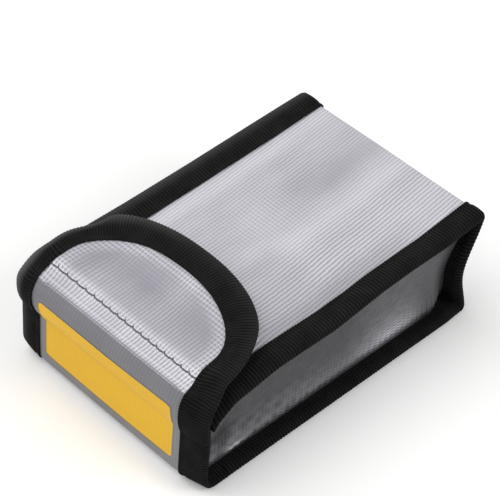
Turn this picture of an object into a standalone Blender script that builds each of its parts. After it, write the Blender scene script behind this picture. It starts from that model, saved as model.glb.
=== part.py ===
"""Battery safety bag of coated glass cloth, with taped edges and a two-fold closing flap.

Metres, +Z up. The mouth and the flap's front wall face -Y, and the bag rests on z = 0
with its origin at the centre of its footprint.

One strip of cloth makes the top, the back, the bottom, the front wall and the tongue.
Two tray-shaped gussets close the sides. Black tape is folded over every sewn edge.
"""

import math

import bmesh
import bpy
from mathutils import Matrix, Vector

# Overall size of the closed bag
WIDTH = 0.092           # across the taped edges
LENGTH = 0.140          # front wall to back, over the tapes
BODY_HEIGHT = 0.0425    # table to the top of the taped edges, at the mouth
BACK_RISE = 0.0054      # how much higher the top stands at the back
BACK_FOOT = 0.003       # how far the foot of the back stands in from its head
BACK_SAG = 0.0045       # how far the slack back falls in between them

# Sheet goods
CLOTH = 0.0008          # coated glass cloth
TAPE = 0.0007           # woven binding tape
GAP = 0.0003            # air between sewn layers
THREAD = 0.0005         # sewing thread, diameter

# Edges and folds
BOUND = 0.011           # width of the folded tape on the long edges
BOUND_INSIDE = 0.006    # width of its narrower leg, on the face that looks at a gusset
MOUTH_BOUND = 0.0065    # width of the folded tape across the mouth
GUSSET_BOUND = 0.0045   # width of the folded tape up the front edge of a gusset
FOLD = 0.0015           # inside radius of every fold in the strip
FOLD_RUN = 0.001        # straight run past a fold, up to where the next piece starts
STITCH_INSET = 0.002    # stitching to the inner edge of the tape

# Tongue
TONGUE_REACH = 0.049    # front wall to the tip
TONGUE_ROUND = 0.0352   # depth of the rounded end

# Hook and loop closure
HOOK = 0.0008           # thickness of the hook tape
LOOP = 0.0009           # thickness of the loop tape
HOOK_DEPTH = 0.013      # hook tape, front to back
LOOP_DEPTH = 0.015      # loop tape, front to back
HOOK_SETBACK = 0.0008   # fold to the front edge of the hook tape
LOOP_SETBACK = 0.0006   # mouth tape to the front edge of the loop tape
CLOSURE_MARGIN = 0.003  # end of either tape to the taped edges
ZIGZAG_INSET = 0.0012   # zigzag seam to the front edge of the hook tape
ZIGZAG_SWING = 0.0018   # width of the zigzag
ZIGZAG_PITCH = 0.0038   # one stitch across and back

# Blank patch on the front wall
PATCH = 0.0003          # thickness
PATCH_SIDE = 0.0035     # patch to the taped edges
PATCH_FOOT = 0.0022     # patch to the lower fold
PATCH_HEAD = 0.0042     # patch to the upper fold
PATCH_CORNER = 0.0015   # corner radius, also of the hook and loop tapes

# Running clearances of the two folds
HINGE_CLEAR = 0.0002    # fold axis to the outer face of the tape

# Facets on one quarter turn, on the tongue's round end and down the slack back
QUARTER = 5
ROUND_END = 22
SAG_STEPS = 8

# Worked out from the sizes above
SEAM = 2 * TAPE + 2 * CLOTH + 3 * GAP
HEM = 2 * TAPE + CLOTH + 2 * GAP
CORNER = FOLD + SEAM
CLOTH_DEPTH = TAPE + GAP
FLANGE_DEPTH = CLOTH_DEPTH + CLOTH + GAP
SIDE = WIDTH / 2
INNER = SIDE - BOUND
FRONT = -LENGTH / 2
BACK = LENGTH / 2
BACK_HEIGHT = BODY_HEIGHT + BACK_RISE
MOUTH = FRONT + CORNER
KNEE = FRONT + TONGUE_REACH
CLIMB = math.degrees(math.atan2(BACK_RISE, BACK - CORNER - KNEE))
LAP = max(HEM + GAP, CLOTH + HOOK + LOOP + 3 * GAP)
TOP = BODY_HEIGHT + LAP
FRONT_FOOT = CORNER + FOLD_RUN + GAP
TONGUE_START = MOUTH + FOLD_RUN + GAP
WALL = SIDE - BOUND_INSIDE - GAP - CLOTH / 2

# A side view drawn in x and y stands in the world's YZ plane, with its depth along X
SIDE_VIEW = Matrix(((0, 0, 1, 0), (1, 0, 0, 0), (0, 1, 0, 0), (0, 0, 0, 1)))
# A front view drawn in x and y stands in the world's XZ plane, with its depth along -Y
FRONT_VIEW = Matrix.Rotation(math.radians(90), 4, "X")
TOP_VIEW = Matrix.Identity(4)


def clear_scene():
    """Remove what the file starts with."""
    for thing in list(bpy.data.objects):
        bpy.data.objects.remove(thing, do_unlink=True)


def new_collection(name):
    """Add a collection to the scene."""
    group = bpy.data.collections.new(name)
    bpy.context.scene.collection.children.link(group)
    return group


def finish(name, colour, roughness, metallic=0.0):
    """Make a plain Principled material."""
    material = bpy.data.materials.new(name)
    material.use_nodes = True
    shader = material.node_tree.nodes["Principled BSDF"]
    shader.inputs["Base Color"].default_value = (*colour, 1.0)
    shader.inputs["Roughness"].default_value = roughness
    shader.inputs["Metallic"].default_value = metallic
    material.diffuse_color = (*colour, 1.0)
    return material


def arc(centre, radius_x, radius_y, start, end, steps):
    """Points on an arc of an ellipse, angles in degrees."""
    points = []
    for step in range(steps + 1):
        angle = math.radians(start + (end - start) * step / steps)
        x = centre[0] + radius_x * math.cos(angle)
        y = centre[1] + radius_y * math.sin(angle)
        points.append((x, y))
    return points


def inset(line, depth):
    """Move an open line sideways to its right by a depth, keeping its stretches parallel."""
    points = [Vector(point) for point in line]
    moved = []
    for index, point in enumerate(points):
        before = points[max(index - 1, 0)]
        after = points[min(index + 1, len(points) - 1)]
        first = (point - before) if index else (after - point)
        second = (after - point) if index < len(points) - 1 else first
        normal_a = Vector((first.y, -first.x)).normalized()
        normal_b = Vector((second.y, -second.x)).normalized()
        middle = (normal_a + normal_b).normalized()
        moved.append(tuple(point + middle * depth / middle.dot(normal_a)))
    return moved


def body_line(start, end_arc):
    """Outer side view of the body: level under the tongue, climbing, down the slack back and forward."""
    line = [(start, BODY_HEIGHT), (KNEE, BODY_HEIGHT)]
    head = BACK_HEIGHT - CORNER
    line += arc((BACK - CORNER, head), CORNER, CORNER, 90 + CLIMB, 0, QUARTER)
    for step in range(1, SAG_STEPS):
        drop = step / SAG_STEPS
        sag = BACK_FOOT * drop + BACK_SAG * math.sin(math.pi * drop) ** 2
        line.append((BACK - sag, head + (CORNER - head) * drop))
    line += arc((BACK - BACK_FOOT - CORNER, CORNER), CORNER, CORNER, 0, -90, QUARTER)
    if end_arc:
        line += arc((FRONT + CORNER, CORNER), CORNER, CORNER, 270, 180, QUARTER)
        line.append((FRONT, CORNER + FOLD_RUN))
    else:
        line.append((start, 0.0))
    return line


def front_line():
    """Outer side view of the flap's front wall, up to the end of its upper fold."""
    line = [(FRONT, FRONT_FOOT)]
    line += arc((MOUTH, TOP - CORNER), CORNER, CORNER, 180, 90, QUARTER)
    line.append((MOUTH + FOLD_RUN, TOP))
    return line


def tongue_line():
    """Outline of the tongue from above, from its left root round the tip to its right root."""
    shoulder = FRONT + TONGUE_REACH - TONGUE_ROUND
    line = [(-SIDE, TONGUE_START)]
    line += arc((0.0, shoulder), SIDE, TONGUE_ROUND, 180, 0, ROUND_END)
    line.append((SIDE, TONGUE_START))
    return line


def rounded_box(low, high, radius):
    """Closed outline of a rectangle with round corners."""
    line = []
    line += arc((high[0] - radius, high[1] - radius), radius, radius, 0, 90, QUARTER)
    line += arc((low[0] + radius, high[1] - radius), radius, radius, 90, 180, QUARTER)
    line += arc((low[0] + radius, low[1] + radius), radius, radius, 180, 270, QUARTER)
    line += arc((high[0] - radius, low[1] + radius), radius, radius, 270, 360, QUARTER)
    return line


def drawn_curve(name, line, closed=False, flat=True):
    """A poly curve through the given points."""
    data = bpy.data.curves.new(name, "CURVE")
    data.dimensions = "2D" if flat else "3D"
    spline = data.splines.new("POLY")
    spline.points.add(len(line) - 1)
    for point, place in zip(spline.points, line):
        point.co = (*place, 0.0, 1.0) if len(place) == 2 else (*place, 1.0)
    spline.use_cyclic_u = closed
    return bpy.data.objects.new(name, data)


def add_part(thing, material, view, parent=None):
    """Put a piece in the part's collection, in its view's plane and on its fold."""
    thing.data.materials.append(material)
    bag.objects.link(thing)
    if parent:
        thing.parent = parent
        thing.matrix_parent_inverse = parent.matrix_basis.inverted()
    thing.matrix_basis = view
    return thing


def thicken(thing, thickness):
    """Give an open surface its thickness, evenly to both sides."""
    solidify = thing.modifiers.new("thickness", "SOLIDIFY")
    solidify.thickness = thickness
    solidify.offset = 0.0
    solidify.use_even_offset = True


def strip(name, line, half_width, material, parent=None):
    """A ribbon of cloth that follows a side view."""
    ribbon = drawn_curve(name, inset(line, CLOTH_DEPTH + CLOTH / 2))
    ribbon.data.extrude = half_width
    ribbon.data.fill_mode = "NONE"
    thicken(ribbon, CLOTH)
    return add_part(ribbon, material, SIDE_VIEW, parent)


def plate(name, outline, thickness, middle, view, material, parent=None):
    """A flat piece cut to an outline, with its mid plane at a height above its view's plane."""
    sheet = drawn_curve(name, outline, closed=True)
    sheet.data.fill_mode = "BOTH"
    sheet.data.extrude = thickness / 2
    return add_part(sheet, material, view @ Matrix.Translation((0, 0, middle)), parent)


def folded_tape(stack, outer, inner):
    """Section of a tape folded over an edge with a leg on each face: distance in from the edge, and depth."""
    bend = (stack - TAPE) / 2
    section = [(outer, TAPE / 2)]
    section += arc((TAPE / 2 + bend, stack / 2), bend, bend, 270, 90, QUARTER + 1)
    section.append((inner, stack - TAPE / 2))
    return section


def tape(name, line, section, view, parent=None):
    """Tape with a given section, run along a line."""
    guide = drawn_curve(name + "_section", section)
    guide.hide_render = True
    guide.display_type = "WIRE"
    guides.objects.link(guide)
    run = drawn_curve(name, line)
    run.data.bevel_mode = "OBJECT"
    run.data.bevel_object = guide
    run.data.fill_mode = "NONE"
    thicken(run, TAPE)
    return add_part(run, black_tape, view, parent)


def thread(name, points, material, parent=None):
    """A run of sewing thread through points in space."""
    run = drawn_curve(name, points, flat=False)
    run.data.bevel_depth = THREAD / 2
    run.data.bevel_resolution = 0
    run.data.use_fill_caps = True
    return add_part(run, material, TOP_VIEW, parent)


def side_tape(name, line, stack, inner, side, parent=None):
    """Folded tape on the left (-1) or right (+1) edge of the strip."""
    section = [(depth, side * (SIDE - reach)) for reach, depth in folded_tape(stack, BOUND, inner)]
    return tape(name, line, section, SIDE_VIEW, parent)


def gusset(name, side):
    """Side panel with its top, back and bottom edges turned out under the tape."""
    front = MOUTH + HEM / 2
    outline = inset(body_line(front, end_arc=False), FLANGE_DEPTH + CLOTH / 2)
    mesh = bpy.data.meshes.new(name)
    shape = bmesh.new()
    corners = [shape.verts.new((side * WALL, y, z)) for y, z in outline]
    wall = shape.faces.new(corners)
    turned = [edge for edge in wall.edges if max(vert.co.y for vert in edge.verts) > front + GAP]
    grown = bmesh.ops.extrude_edge_only(shape, edges=turned)
    edge_verts = [item for item in grown["geom"] if isinstance(item, bmesh.types.BMVert)]
    flange = SIDE - SEAM / 2 - WALL
    bmesh.ops.translate(shape, verts=edge_verts, vec=(side * flange, 0, 0))
    bmesh.ops.recalc_face_normals(shape, faces=shape.faces)
    shape.to_mesh(mesh)
    shape.free()
    panel = bpy.data.objects.new(name, mesh)
    thicken(panel, CLOTH)
    return add_part(panel, grey_cloth, TOP_VIEW)


def gusset_tape(name, side):
    """Narrow tape folded over the front edge of a gusset."""
    outer = WALL + HEM / 2
    legs = folded_tape(HEM, GUSSET_BOUND, GUSSET_BOUND)
    section = [(reach, side * (outer - depth)) for reach, depth in legs]
    low = SEAM + GAP
    return tape(name, [(MOUTH, low), (MOUTH, BODY_HEIGHT - low)], section, SIDE_VIEW)


def mouth_tape(name):
    """Narrow tape folded over the front edge of the top panel, between the taped long edges."""
    half = INNER - GAP
    section = [(reach, BODY_HEIGHT - depth) for reach, depth in folded_tape(HEM, MOUTH_BOUND, MOUTH_BOUND)]
    return tape(name, [(half, MOUTH), (-half, MOUTH)], section, TOP_VIEW)


def tongue_tape(name, parent):
    """Tape folded over the edge of the tongue, all round its D shape."""
    section = [(reach, TOP - depth) for reach, depth in folded_tape(HEM, BOUND, BOUND)]
    return tape(name, tongue_line(), section, TOP_VIEW, parent)


def seam_stitching(name, side):
    """Thread along the inner face of an edge tape, round the side opening."""
    line = inset(body_line(MOUTH + MOUTH_BOUND, end_arc=False), SEAM + GAP + THREAD / 2)
    place = side * (SIDE - BOUND_INSIDE + STITCH_INSET)
    return thread(name, [(place, y, z) for y, z in line], black_thread)


def zigzag(name, y, z, half, parent):
    """Zigzag seam in one unbroken thread across the tongue."""
    turns = 2 * round(half / ZIGZAG_PITCH) * 2
    points = []
    for turn in range(turns + 1):
        swing = ZIGZAG_SWING / 2 if turn % 2 else -ZIGZAG_SWING / 2
        points.append((-half + 2 * half * turn / turns, y + swing, z))
    return thread(name, points, grey_thread, parent)


def fold_axis(name, y, z):
    """Empty on the axis of a fold, which runs across the bag."""
    empty = bpy.data.objects.new(name, None)
    empty.location = (0, y, z)
    empty.empty_display_size = BOUND
    bag.objects.link(empty)
    return empty


clear_scene()
bag = new_collection("battery_safety_bag")
guides = new_collection("guides")

silver_cloth = finish("silver coated glass cloth", (0.50, 0.50, 0.53), 0.38, 0.6)
grey_cloth = finish("grey side cloth", (0.22, 0.22, 0.23), 0.42, 0.5)
black_tape = finish("black woven tape", (0.012, 0.012, 0.012), 0.85)
black_thread = finish("black thread", (0.02, 0.02, 0.02), 0.8)
grey_thread = finish("grey thread", (0.10, 0.10, 0.11), 0.75)
yellow_patch = finish("yellow patch", (0.72, 0.45, 0.06), 0.5)
hook_grey = finish("grey hook tape", (0.16, 0.16, 0.17), 0.8)
loop_grey = finish("grey loop tape", (0.20, 0.20, 0.21), 0.9)

front_fold = fold_axis("front_fold_axis", FRONT - HINGE_CLEAR, FRONT_FOOT - GAP / 2)
tongue_fold = fold_axis("tongue_fold_axis", TONGUE_START - GAP / 2, TOP + HINGE_CLEAR)

# Body: the strip, the two gussets, and the tapes that bind them
strip("body_panel", body_line(MOUTH + HEM / 2, end_arc=True), SIDE - SEAM / 2, silver_cloth)
for side_name, side_sign in (("left", -1), ("right", 1)):
    gusset(side_name + "_gusset", side_sign)
    seam_line = body_line(MOUTH, end_arc=True)
    side_tape(side_name + "_seam_binding", seam_line, SEAM, BOUND_INSIDE, side_sign)
    gusset_tape(side_name + "_mouth_binding", side_sign)
    seam_stitching(side_name + "_seam_stitching", side_sign)
mouth_tape("mouth_binding")

# Front wall of the flap, with its upper fold
strip("front_panel", front_line(), SIDE - HEM / 2, silver_cloth, front_fold)
for side_name, side_sign in (("left", -1), ("right", 1)):
    side_tape(side_name + "_front_binding", front_line(), HEM, BOUND, side_sign, front_fold)
patch_half = INNER - PATCH_SIDE
patch_outline = rounded_box(
    (-patch_half, FRONT_FOOT + PATCH_FOOT),
    (patch_half, TOP - CORNER - PATCH_HEAD),
    PATCH_CORNER,
)
patch_middle = -(FRONT + CLOTH_DEPTH - GAP - PATCH / 2)
plate("front_patch", patch_outline, PATCH, patch_middle, FRONT_VIEW, yellow_patch, front_fold)

# Tongue, with the hook tape sewn under it
tongue_cloth = TOP - CLOTH_DEPTH - CLOTH / 2
tongue_outline = inset(tongue_line(), HEM / 2)
plate("tongue_panel", tongue_outline, CLOTH, tongue_cloth, TOP_VIEW, silver_cloth, tongue_fold)
tongue_tape("tongue_binding", tongue_fold)
closure_half = INNER - CLOSURE_MARGIN
hook_front = TONGUE_START + HOOK_SETBACK
hook_outline = rounded_box((-closure_half, hook_front), (closure_half, hook_front + HOOK_DEPTH), PATCH_CORNER)
hook_middle = tongue_cloth - CLOTH / 2 - GAP - HOOK / 2
plate("hook_tape", hook_outline, HOOK, hook_middle, TOP_VIEW, hook_grey, tongue_fold)
zigzag_height = tongue_cloth + CLOTH / 2 + GAP + THREAD / 2
zigzag("hook_tape_stitching", hook_front + ZIGZAG_INSET, zigzag_height, closure_half, tongue_fold)

# Loop tape on the top panel, behind the mouth
loop_front = MOUTH + MOUTH_BOUND + LOOP_SETBACK
loop_outline = rounded_box((-closure_half, loop_front), (closure_half, loop_front + LOOP_DEPTH), PATCH_CORNER)
loop_middle = BODY_HEIGHT - CLOTH_DEPTH + GAP + LOOP / 2
plate("loop_tape", loop_outline, LOOP, loop_middle, TOP_VIEW, loop_grey)
bpy.context.view_layer.update()
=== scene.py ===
"""Looks of a small battery safety bag.

One strip of silver-coated glass cloth runs over the top, down the back, along the bottom and up the front,
where it goes on as a flap with a round tongue. Two gussets close the sides, and black ribbed tape is folded
over every edge. Each soft piece is cut flat, folded along the strip's side view, and then settled into the
slack shape of the bag in use. Lengths are in millimetres until a mesh takes them."""

import math

import bpy
import numpy as np
from mathutils import Matrix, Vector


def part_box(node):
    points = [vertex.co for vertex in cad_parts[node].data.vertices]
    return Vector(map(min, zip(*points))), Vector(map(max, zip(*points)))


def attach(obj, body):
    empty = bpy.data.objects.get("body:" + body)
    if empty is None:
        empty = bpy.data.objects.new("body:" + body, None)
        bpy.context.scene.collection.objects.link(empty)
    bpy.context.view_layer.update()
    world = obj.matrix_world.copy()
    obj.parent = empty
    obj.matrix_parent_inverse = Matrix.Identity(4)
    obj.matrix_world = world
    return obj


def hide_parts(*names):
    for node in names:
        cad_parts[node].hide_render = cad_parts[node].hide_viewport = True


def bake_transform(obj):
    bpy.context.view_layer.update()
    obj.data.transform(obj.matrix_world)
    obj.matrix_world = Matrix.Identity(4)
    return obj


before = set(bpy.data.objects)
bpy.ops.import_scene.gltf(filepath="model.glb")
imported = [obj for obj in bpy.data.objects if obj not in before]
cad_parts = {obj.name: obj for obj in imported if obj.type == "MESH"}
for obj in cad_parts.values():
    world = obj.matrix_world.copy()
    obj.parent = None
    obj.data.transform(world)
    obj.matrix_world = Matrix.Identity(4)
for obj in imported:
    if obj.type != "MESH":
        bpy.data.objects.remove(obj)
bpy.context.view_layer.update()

MM = 0.001


def span(node):
    """Lowest and highest corner of a node of the frame, in millimetres."""
    low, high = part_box(node)
    return np.array(low) / MM, np.array(high) / MM


rail_low, rail_high = span("right_seam_binding")
mouth_low, mouth_high = span("mouth_binding")
post_low, post_high = span("right_mouth_binding")
tongue_high = span("tongue_binding")[1]
hook_low, hook_high = span("hook_tape")
loop_low, loop_high = span("loop_tape")
patch_low, patch_high = span("front_patch")

# Outline of the bag, from the frame
SOLID_CLOTH = 0.8        # thickness of the cloth in the solids
LEG_GAP = 0.35           # middle of a gusset's wall to the tape beside it
SIDE = rail_high[0]
INNER = rail_low[0]
BOUND = SIDE - INNER
FRONT = span("right_front_binding")[0][1]
BACK = rail_high[1]
RAIL_TOP = mouth_high[2]
TOP = tongue_high[2]
TIP = tongue_high[1]
MOUTH = mouth_low[1]
WALL = span("right_gusset")[0][0] + SOLID_CLOTH / 2
INSIDE_BOUND = SIDE - WALL - LEG_GAP   # the tape's narrower leg, on the face that looks at a gusset
BACK_RECESS = 4.5        # gusset, drawn in towards its lower back corner
RECESS_RUN = 12.0        # over which it comes out again

# Cloth, tape and thread
CLOTH = 0.6
CLOTH_DEPTH = 1.5        # outermost line of the bag to the middle of the cloth
CLOTH_PITCH = 1.39       # spacing of the ribs in the cloth
WEFT_PITCH = 1.6         # spacing of the weft that crosses them
RIB_WANDER = 0.3         # how far the ribs stray from straight lines
CLOTH_STEP = 1.2         # spacing of the columns that follow its folds
CLOTH_EDGE = 4.0         # edge of the cloth inside the folded tape
MOUTH_EDGE = 1.2         # edge of the cloth inside the tape at the mouth
TIP_EDGE = 6.0           # edge of the cloth inside the tape at the tip of the tongue
TAPE = 0.5
TAPE_RIB = 0.25          # height of the tape's cross ribs
TAPE_PITCH = 1.3         # spacing of the tape's cross ribs
YARN_PITCH = 0.5         # spacing of the yarns along a cross rib
TAPE_SHEEN = 6.0          # its stretch of painted sheen, to each side of the fold
RIB_STEPS = 6            # stations on one cross rib
LEG_POINTS = 5           # on each half of a leg of the folded tape
BEND_POINTS = 9          # round its fold
BEND_FULL = 0.95         # how round that fold is: 1 is a half circle
PUFF = 0.35              # crown of the tape between its edge and its seam
SEAM_STACK = 3.8         # folded tape on the body, with the cloth and the gusset in it
FLAP_STACK = 3.0         # folded tape on the flap
MOUTH_STACK = 2.8        # folded tape round the mouth
SEAM_INSET = 2.0         # seam to the inner edge of the tape
SEAM_GROOVE = 0.28       # depth of the groove along the seam
GROOVE_HALF = 0.7        # its half width
GROOVE_RUN = 1.2         # past the seam, where the points on a leg get wider apart
RIM_DROP = 0.25          # inner edge of the tape, pulled down onto the cloth
RIM_RUN = 1.2            # over which it comes down
STITCH = 2.6
STITCH_GAP = 0.5
STITCH_DIP = 0.22        # ends of a stitch, pulled into the tape
THREAD = 0.5
SEAM_DEPTH = TAPE_RIB + 0.4 * PUFF + 0.35   # outermost line of the tape to the middle of the thread

# Folds of the strip, seen from the side
BACK_ROUND = 3.0
FOOT_ROUND = 5.0
FLAP_ROUND = 1.4
LOOSE_ROUNDS = {-1: (9.0, 8.0), 1: (9.0, 13.0)}   # front foot and top fold, on the stiff tape of each side
LOOSE_EASE = 4.0         # over which the tape slides to its wider bend
TONGUE_ROUND = 35.2      # depth of the tongue's round end
TONGUE_FULL = 2.3        # how square that end is: 2 is an ellipse
TONGUE_TAPER = 1.8       # the tongue's sides draw in from the fold to the round end
TIP_WIDER = 0.14         # share by which its tape spreads round that end
CREASE = 26.5            # height of the soft crease across the front wall
SPLIT = FRONT + 14.0     # on the bottom, where the flap's cloth starts
ARC_POINTS = 25          # on one rounded corner


# Shape helpers


def smooth(value, low, high):
    """Eased step from 0 at low to 1 at high."""
    t = np.clip((value - low) / (high - low), 0, 1)
    return t * t * (3 - 2 * t)


def hump(value, middle, half_width):
    """Soft hump, 1 at its middle and nearly 0 two half widths away."""
    return np.exp(-((value - middle) / half_width) ** 2)


def spread(low, high, step):
    """Evenly spaced values from low to high, about a step apart."""
    return np.linspace(low, high, max(2, round(abs(high - low) / step) + 1))


def unit(ways):
    """One direction, or a row of them, at length 1."""
    return ways / np.linalg.norm(ways, axis=-1, keepdims=True)


def length_along(points):
    """Length of a line of points up to each of them."""
    return np.concatenate([[0], np.cumsum(np.linalg.norm(np.diff(points, axis=0), axis=1))])


def ripple(a, b, size, turn=0.0):
    """Slack in cloth: a few long waves crossing each other, between about -1 and 1."""
    waves = 0.0
    for angle, share, shift in ((0.3, 1.0, 0.0), (1.4, 0.71, 1.9), (2.3, 0.53, 4.1), (0.9, 0.37, 2.6)):
        lean = angle + turn
        run = a * math.cos(lean) + b * math.sin(lean)
        waves = waves + np.sin(2 * np.pi * share * run / size + shift + turn)
    return waves / 4


class Track:
    """A line with rounded right-angled corners in the side view, and the outward direction along it."""

    def __init__(self, corners, rounds):
        corners = [np.array(corner, float) for corner in corners]
        points = [corners[0]]
        normals = []
        corner_ends = []
        for before, corner, after, radius in zip(corners, corners[1:], corners[2:], rounds):
            way_in = unit(corner - before)
            way_out = unit(after - corner)
            out_in = np.array((-way_in[1], way_in[0]))
            out_out = np.array((-way_out[1], way_out[0]))
            if not normals:
                normals.append(out_in)
            centre = corner - radius * way_in - radius * out_in
            for turn in np.linspace(0, math.pi / 2, ARC_POINTS):
                normal = out_in * math.cos(turn) + out_out * math.sin(turn)
                points.append(centre + radius * normal)
                normals.append(normal)
            corner_ends.append((len(points) - ARC_POINTS, len(points) - 1))
        points.append(corners[-1])
        normals.append(normals[-1])
        self.points = np.array(points)
        self.normals = np.array(normals)
        self.run = length_along(self.points)
        self.stops = [(self.run[first], self.run[last]) for first, last in corner_ends]
        self.length = self.run[-1]

    def at(self, along, depth):
        """Places in the side view, that far along the line and that deep under it."""
        place = []
        for point, normal in zip(self.points.T, self.normals.T):
            place.append(np.interp(along, self.run, point) - depth * np.interp(along, self.run, normal))
        return np.stack(place, axis=-1)


CORNERS = ((MOUTH, RAIL_TOP), (BACK, RAIL_TOP), (BACK, 0), (FRONT, 0), (FRONT, TOP), (TIP, TOP))
strip_line = Track(CORNERS, (BACK_ROUND, BACK_ROUND, FOOT_ROUND, FLAP_ROUND))
loose_lines = {}
for side, rounds in LOOSE_ROUNDS.items():
    loose_lines[side] = Track(CORNERS, (BACK_ROUND, BACK_ROUND, *rounds))

# Where the strip's four bends start and end along it, from the mouth to the tip of the tongue
head_start, head_end = strip_line.stops[0]
heel_start, heel_end = strip_line.stops[1]
foot_start, foot_end = strip_line.stops[2]
fold_start, fold_end = strip_line.stops[3]
shoulder_run = strip_line.length - TONGUE_ROUND
tongue_end = strip_line.length - TIP_EDGE


def front_run(height):
    """Place along the strip of a height on the front wall."""
    return foot_end + height - FOOT_ROUND


def tongue_run(y):
    """Place along the strip of a place on the tongue."""
    return fold_end + (y - FRONT - FLAP_ROUND)


# The flap's pieces meet on a cross rib of the tape
split_run = TAPE_PITCH * round((foot_start - (SPLIT - FRONT - FOOT_ROUND)) / TAPE_PITCH)
crease_run = TAPE_PITCH * round(front_run(CREASE) / TAPE_PITCH)


def loose_run(along, side):
    """Place along one side's looser line of a place along the strip."""
    loose_line = loose_lines[side]
    here, there = [0], [0]
    for corner, tight, loose in zip((2, 3), (FOOT_ROUND, FLAP_ROUND), LOOSE_ROUNDS[side]):
        spare = loose - tight + LOOSE_EASE
        start, end = strip_line.stops[corner]
        loose_start, loose_end = loose_line.stops[corner]
        here += [start - spare, end + spare]
        there += [loose_start - LOOSE_EASE, loose_end + LOOSE_EASE]
    return np.interp(along, here + [strip_line.length], there + [loose_line.length])


def fold(across, along, depth):
    """Fold flat cloth or tape along the strip; out on the stiff tape the front folds are wider bends."""
    sharp = strip_line.at(along, depth)
    place = sharp
    for side, line in loose_lines.items():
        share = smooth(side * across, INNER - 4, SIDE)[..., None]
        place = place + share * (line.at(loose_run(along, side), depth) - sharp)
    return np.column_stack((np.broadcast_to(across, place[:, 0].shape), place))


# How the empty bag has settled: heights of the top along its seams and edges, from the front to the back
TOP_LINES = {
    "left_edge": ((-70, 42.6), (-45, 43.2), (-20, 43.6), (10, 44.8), (40, 46.5), (56, 47.3), (70, 48.0)),
    "flap_left_edge": ((-70, 40.4), (-45, 41.2), (-20, 42.6)),
    "left_seam": ((-70, 40.4), (-45, 41.2), (-20, 42.6), (10, 44.2), (40, 45.9), (56, 47.2), (70, 48.4)),
    "right_seam": ((-70, 39.6), (-45, 41.4), (-33, 42.3), (-8, 41.9), (5, 42.7), (17, 44.1), (42, 45.0),
                   (58, 46.8), (70, 48.3)),
    "right_edge": ((-66, 29.0), (-62, 34.0), (-55, 38.4), (-43, 40.0), (-34, 41.4), (-8, 41.2), (1, 42.4),
                   (15, 44.4), (30, 45.4), (48, 45.4), (70, 47.7)),
    "flap_right_edge": ((-70, 39.6), (-60, 41.0), (-43, 42.2), (-30, 42.2), (10, 43.0)),
}
# Soft dents in the top panel: middle across and along, half width, half length, depth
DENTS = ((-9, 40, 6, 16, 0.9), (-12, 2, 9, 7, 0.6), (29, 14, 4, 12, 0.8), (4, -12, 8, 6, 0.5))
CROWN = 0.8              # the top panel stands up between its taped edges
TOP_RIPPLE = 0.35        # its slack waves
LEAN = 1.3               # right-hand inner seam, outwards
BULK = 2.2               # the tongue rides up over the hook and loop tapes
TIP_LIFT = 2.2           # end of the tongue, off the top panel
SKEW = -5.0              # end of the tongue, pressed down to the left
BACK_BOW = 1.6           # tapes up the back, drawn in near the bottom
BACK_FOOT = 2.6          # foot of the back, forwards
BACK_SAG = 4.6           # slack back, falling in halfway up
ROOT_PULL = 1.5          # more between the tapes
BELLY = 2.6              # front wall, forwards between its crease and its upper fold
BELLY_TILT = 1.0         # more on the left, less on the right
LOW_BELLY = 0.5          # front wall, forwards under its crease
WINGS = {-1: 0.6, 1: 2.2}   # front tapes, bent back
TAPE_SHIFT = 3.8         # inner edge of the tongue's left tape, outwards near the fold
SHOULDER = 3.8           # tongue's left shoulder, drawn in
FRONT_LEAN = 1.0         # front wall, back at its upper fold


def top_height(x, y, flap):
    """Height of the settled top over a place on the floor."""
    lines = {name: np.interp(y, *np.array(line).T) for name, line in TOP_LINES.items()}
    fins = ("flap_left_edge", "flap_right_edge") if flap else ("left_edge", "right_edge")
    places = (-SIDE, -INNER, INNER, SIDE)
    heights = (lines[fins[0]], lines["left_seam"], lines["right_seam"], lines[fins[1]])
    height = heights[0] + (heights[0] - heights[1]) / BOUND * np.clip(-SIDE - x, 0, None)
    for low, high, first, last in zip(places, places[1:], heights, heights[1:]):
        share = np.clip((x - low) / (high - low), 0, 1)
        height = height + (last - first) * share
    return height


def settled_top(x, y, inside, flap):
    """Height of the top with its crown, waves and dents, and with the tongue riding up over the hook tape."""
    top = top_height(x, y, flap) + inside * CROWN * smooth(y, FRONT, FRONT + 50) * smooth(-y, -66, -40)
    top = top + TOP_RIPPLE * ripple(x, y, 46) * inside
    for across, along, half_width, half_length, deep in DENTS:
        top = top - deep * hump(x, across, half_width) * hump(y, along, half_length)
    over_hooks = smooth(y, FRONT + 1, FRONT + 12) * smooth(-y, 18, 36)
    return top + BULK * over_hooks * (1 if flap else smooth(inside, 0, 0.3))


def flap_moves(x, y, z, upper, outward, inside):
    """How the flap gives: its front wall bellies out, its tapes bend back, and its tongue lies askew."""
    skew = SKEW * upper * smooth(y, FRONT + 4, TIP)
    left_tape = smooth(-x, INNER - 20, INNER) * (1 - smooth(-x, INNER, SIDE))
    shift = TAPE_SHIFT * left_tape * smooth(y, FRONT - 4, FRONT + 10) * smooth(-y, 33, 57)
    shoulder = SHOULDER * upper * smooth(-x, INNER - 2, SIDE - 4) * hump(y, -37, 9)
    rise = np.clip((z - CREASE) / (TOP - CREASE), 0, 1)
    bulge = BELLY - BELLY_TILT * np.clip(x / INNER, -1, 1)
    belly = bulge * np.sin(np.pi * rise) ** 0.7 * (1 - 0.5 * outward) + LOW_BELLY * hump(z, 14, 8) * inside
    wing = outward * np.where(x > 0, WINGS[1], WINGS[-1] * (1 - smooth(z, 24, 34)))
    on_front = smooth(-y, -FRONT - 6, -FRONT - 1)
    lean = FRONT_LEAN * smooth(z, 40, TOP) * smooth(-y, 58, 67)
    lift = TIP_LIFT * upper * smooth(y, TIP - 26, TIP)
    return np.column_stack((skew - shift + shoulder, on_front * (wing - belly) + lean, lift))


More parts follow.
